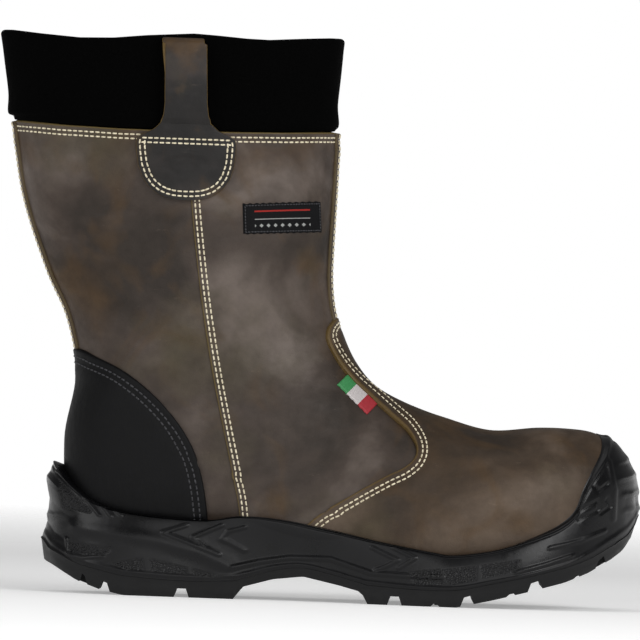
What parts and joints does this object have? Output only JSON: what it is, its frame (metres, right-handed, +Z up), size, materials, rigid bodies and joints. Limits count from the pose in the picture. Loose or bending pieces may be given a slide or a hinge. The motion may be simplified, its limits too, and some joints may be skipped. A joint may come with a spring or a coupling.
{
  "type": "rigger boot",
  "caption": "Right pull-on work boot with a leather shaft, soft cuff, side pull straps, heel counter, moulded toe bumper and lugged sole.",
  "frame": {"origin": "on the floor under the middle of the heel's tread", "axes": "+X towards the toe, +Y towards the inner side of the foot, +Z up"},
  "size_m": [0.3377, 0.1126, 0.2892],
  "materials": {
    "tread_rubber": "matt moulded rubber",
    "cup_rubber": "satin moulded polyurethane",
    "insole_felt": "felt",
    "brown_leather": "oiled pull-up leather",
    "vamp_leather": "oiled pull-up leather",
    "strap_leather": "oiled pull-up leather, darker",
    "black_leather": "matt creased leather",
    "cuff_textile": "dull fleece-backed textile",
    "label_textile": "woven ribbon",
    "tag_textile": "woven ribbon in three colours"
  },
  "bodies": {
    "root": {"outsole": "tread_rubber", "midsole_cup": "cup_rubber", "insole": "insole_felt", "upper": "brown_leather", "vamp": "vamp_leather", "heel_counter": "black_leather", "front_strip": "brown_leather", "back_strip": "brown_leather", "cuff": "cuff_textile", "pull_strap_outer": "strap_leather", "pull_strap_inner": "strap_leather", "woven_label": "label_textile", "side_tag": "tag_textile"}
  },
  "joints": []
}
